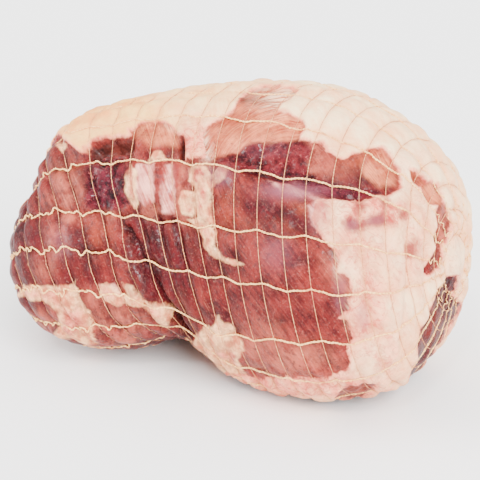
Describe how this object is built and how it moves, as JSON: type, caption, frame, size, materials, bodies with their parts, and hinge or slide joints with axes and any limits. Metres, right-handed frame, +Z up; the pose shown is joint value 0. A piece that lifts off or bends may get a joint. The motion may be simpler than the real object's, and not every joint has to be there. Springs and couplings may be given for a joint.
{
  "type": "boneless smoked ham",
  "caption": "Whole boneless ham roast with a thick fat cap over a lean front, lying on its side and tied all round in a knitted elastic net.",
  "frame": {"origin": "centre of the bounding box on the surface the roast lies on", "axes": "+X along the roast from the narrow lobe to the thick end, -Y the lean front, +Z up through the fat cap"},
  "size_m": [0.2732, 0.1834, 0.169],
  "materials": {
    "meat": "moist, semi-gloss",
    "net": "matte knitted elastic"
  },
  "bodies": {
    "root": {"ham": "meat", "netting": "net"}
  },
  "joints": []
}
